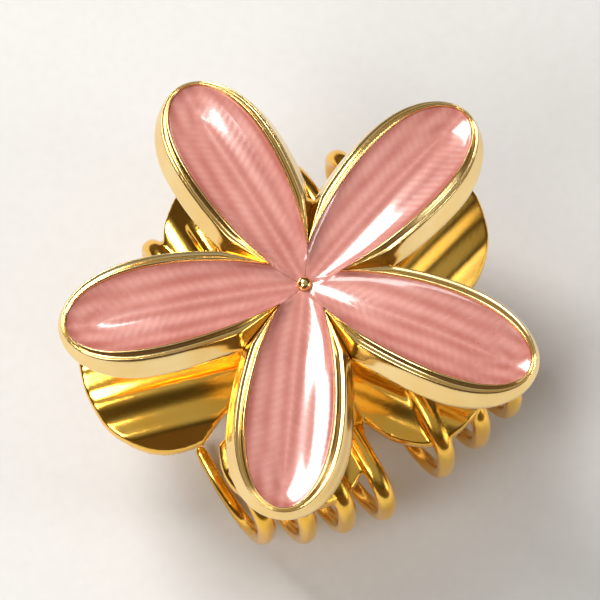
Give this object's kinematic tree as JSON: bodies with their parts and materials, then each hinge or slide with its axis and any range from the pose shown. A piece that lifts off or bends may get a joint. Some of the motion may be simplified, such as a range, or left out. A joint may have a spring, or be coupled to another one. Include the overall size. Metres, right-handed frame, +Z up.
{
  "type": "flower hair clip",
  "caption": "Spring claw hair clip: an enamelled five-petal flower fixed over two hinged metal jaws whose ridged lobes end in curved teeth.",
  "frame": {"origin": "on the table under the middle of the clip's outline, seen from above", "axes": "+X along the hinge pin, +Y towards the flower's back petal, +Z up out of the flower"},
  "size_m": [0.0528, 0.0508, 0.0337],
  "materials": {
    "gold_plate": "polished gold plating over a zinc alloy casting",
    "spring_steel": "drawn spring wire and pin stock",
    "pink_enamel": "glossy translucent enamel over a veined bed"
  },
  "bodies": {
    "back_half": {"jaw_back": "gold_plate", "hinge_pin": "spring_steel", "torsion_spring": "spring_steel", "flower_casting": "gold_plate", "centre_rivet": "gold_plate", "enamel_back": "pink_enamel", "enamel_back_right": "pink_enamel", "enamel_front_right": "pink_enamel", "enamel_front_left": "pink_enamel", "enamel_back_left": "pink_enamel"},
    "front_half": {"jaw_front": "gold_plate"}
  },
  "joints": [
    {"name": "jaw_hinge", "type": "hinge", "parent": "back_half", "child": "front_half", "pos_m": [0, -0.00216, 0.016], "axis": [-1, 0, 0], "range_deg": [0, 28], "stiffness_Nm_per_rad": 0.06, "springref_deg": -57.3, "deforming": ["torsion_spring"]}
  ]
}
